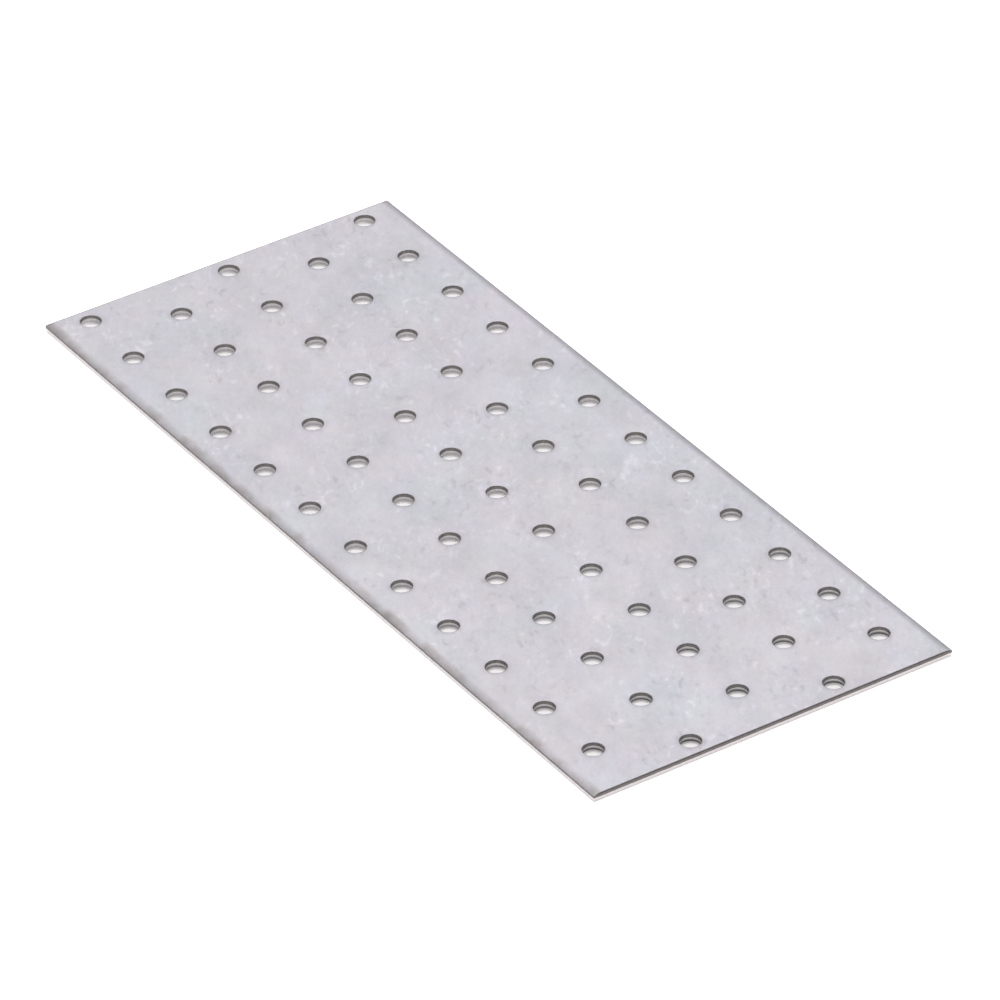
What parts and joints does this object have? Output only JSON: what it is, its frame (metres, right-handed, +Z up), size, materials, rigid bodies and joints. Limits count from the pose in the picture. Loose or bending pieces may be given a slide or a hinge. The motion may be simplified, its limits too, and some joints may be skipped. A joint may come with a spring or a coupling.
{
  "type": "perforated nail plate",
  "caption": "Flat galvanised steel mending plate with staggered rows of round nail holes, for joining timbers in one plane.",
  "frame": {"origin": "centre of the underside of the plate", "axes": "+X along the length, towards the end where the rows either side of the middle come within 5 mm of the end; +Y across the width; +Z up through the thickness, out of the rolled-over face"},
  "size_m": [0.24, 0.1, 0.002],
  "materials": {
    "galvanised_steel": "hot-dip galvanised, dull grey with a faint spangle"
  },
  "bodies": {
    "root": {"nail_plate": "galvanised_steel"}
  },
  "joints": []
}
